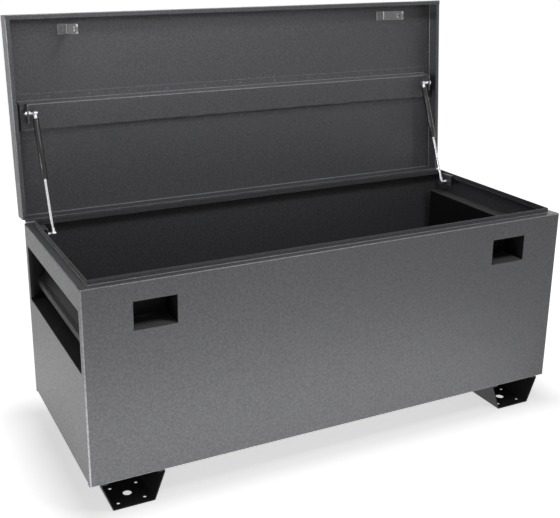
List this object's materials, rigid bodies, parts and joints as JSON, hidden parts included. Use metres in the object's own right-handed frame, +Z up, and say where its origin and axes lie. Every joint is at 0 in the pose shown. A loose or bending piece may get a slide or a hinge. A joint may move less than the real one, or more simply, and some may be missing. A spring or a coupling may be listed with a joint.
{
  "type": "steel storage chest",
  "caption": "Steel storage chest with a lift-up lid on gas struts, handle recesses in its ends, padlock pockets in its front and folded skids drilled for casters.",
  "frame": {"origin": "on the floor, under the middle of the box that the open chest fills", "axes": "+X along the chest to the right end, +Y from the front panel to the hinge side, +Z up"},
  "size_m": [1.524, 0.73, 1.2397],
  "materials": {
    "powder_coat": "fine-textured dark grey powder coat, semi-gloss",
    "skid_coat": "black powder coat, semi-gloss",
    "lug_coat": "lighter grey textured coat on the lid's lugs",
    "primer_coat": "black primer in the lock boxes and handle recesses, with grey overspray where they face out",
    "strut_tube_coat": "smooth gloss black paint",
    "strut_rod_steel": "polished hard-chromed rod",
    "socket_metal": "bright cast ball socket",
    "zinc_steel": "bright zinc plate",
    "seal": "moulded guide and seal"
  },
  "bodies": {
    "chest": {"floor_panel": "powder_coat", "foot_stud_nuts": "zinc_steel", "front_panel": "powder_coat", "hinge_body_leaf": "powder_coat", "hinge_pin": "zinc_steel", "left_end_panel": "powder_coat", "left_foot_ball_stud": "zinc_steel", "left_foot_bracket": "powder_coat", "left_handle_bar": "primer_coat", "left_handle_pan": "primer_coat", "left_lock_box": "primer_coat", "left_skid": "skid_coat", "rear_panel": "powder_coat", "right_end_panel": "powder_coat", "right_foot_ball_stud": "zinc_steel", "right_foot_bracket": "powder_coat", "right_handle_bar": "primer_coat", "right_handle_pan": "primer_coat", "right_lock_box": "primer_coat", "right_skid": "skid_coat"},
    "lid": {"hinge_lid_leaf": "powder_coat", "left_lid_bracket": "powder_coat", "left_lid_end": "powder_coat", "left_lock_lug": "lug_coat", "lid_stiffener": "powder_coat", "lid_stud_ends": "zinc_steel", "lid_stud_nuts": "zinc_steel", "lid_top": "powder_coat", "right_lid_bracket": "powder_coat", "right_lid_end": "powder_coat", "right_lock_lug": "lug_coat"},
    "left_rod": {"left_strut_foot_socket": "socket_metal", "left_strut_piston": "zinc_steel", "left_strut_rod": "strut_rod_steel"},
    "left_tube": {"left_strut_rod_guide": "seal", "left_strut_top_ball_stud": "zinc_steel", "left_strut_top_socket": "socket_metal", "left_strut_tube": "strut_tube_coat"},
    "right_rod": {"right_strut_foot_socket": "socket_metal", "right_strut_piston": "zinc_steel", "right_strut_rod": "strut_rod_steel"},
    "right_tube": {"right_strut_rod_guide": "seal", "right_strut_top_ball_stud": "zinc_steel", "right_strut_top_socket": "socket_metal", "right_strut_tube": "strut_tube_coat"}
  },
  "joints": [
    {"name": "lid_hinge", "type": "hinge", "parent": "chest", "child": "lid", "pos_m": [0, 0.24624, 0.632], "axis": [1, 0, 0], "range_deg": [0, 94.8]},
    {"name": "left_strut_pivot", "type": "hinge", "parent": "chest", "child": "left_rod", "pos_m": [-0.697, 0.14539, 0.622], "axis": [1, 0, 0], "range_deg": [0, 106.98]},
    {"name": "left_strut_slide", "type": "slide", "parent": "left_rod", "child": "left_tube", "axis": [0, 0.3943, 0.919], "range_m": [-0.13643, 0]},
    {"name": "right_strut_pivot", "type": "hinge", "parent": "chest", "child": "right_rod", "pos_m": [0.697, 0.14539, 0.622], "axis": [1, 0, 0], "range_deg": [0, 106.98]},
    {"name": "right_strut_slide", "type": "slide", "parent": "right_rod", "child": "right_tube", "axis": [0, 0.3943, 0.919], "range_m": [-0.13643, 0]}
  ],
  "couplings": [
    {"joint": "left_strut_pivot", "follows": "lid_hinge", "ratio": 1.1283},
    {"joint": "left_strut_slide", "follows": "lid_hinge", "m_per_rad": -0.082454},
    {"joint": "right_strut_pivot", "follows": "lid_hinge", "ratio": 1.1283},
    {"joint": "right_strut_slide", "follows": "lid_hinge", "m_per_rad": -0.082454}
  ]
}
